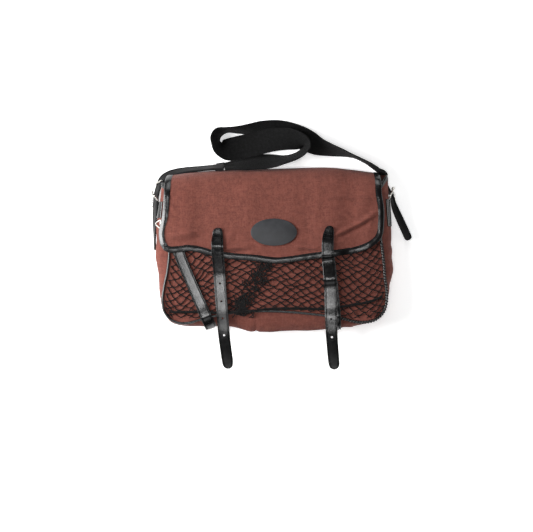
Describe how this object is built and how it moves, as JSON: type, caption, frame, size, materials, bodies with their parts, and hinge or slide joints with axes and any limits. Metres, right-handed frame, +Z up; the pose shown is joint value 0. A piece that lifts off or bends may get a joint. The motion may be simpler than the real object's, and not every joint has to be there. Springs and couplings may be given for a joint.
{
  "type": "game bag",
  "caption": "Canvas game bag lying on its back, with a flap, a net over the front, leather trim and closing straps, and a slack webbing shoulder strap.",
  "frame": {"origin": "middle of the bag's flat back, on the surface that it lies on", "axes": "+X the bag's right as seen from its front, +Y towards its top, +Z up from the surface"},
  "size_m": [0.4423, 0.4227, 0.0597],
  "materials": {
    "canvas": "matt waxed canvas, red-brown",
    "leather": "smooth black bridle leather, semi-gloss",
    "patch": "dark slate leather, satin",
    "net": "black twisted cord",
    "webbing": "black woven webbing, matt",
    "nickel": "nickel plate, bright"
  },
  "bodies": {
    "root": {"bag_body": "canvas", "flap": "canvas", "flap_binding": "leather", "front_piping": "leather", "gusset_binding_left": "leather", "gusset_binding_right": "leather", "net": "net", "oval_patch": "patch", "flap_strap_left": "leather", "flap_strap_right": "leather", "lower_strap_left": "leather", "lower_strap_right": "leather", "lower_buckle_left": "nickel", "lower_buckle_right": "nickel", "side_tab_left": "leather", "side_tab_right": "leather", "strap_buckle_left": "nickel", "strap_buckle_right": "nickel", "strap_keeper_left": "nickel", "side_ring_left": "nickel", "strap_end_left": "leather", "strap_end_right": "leather", "shoulder_webbing": "webbing"}
  },
  "joints": []
}
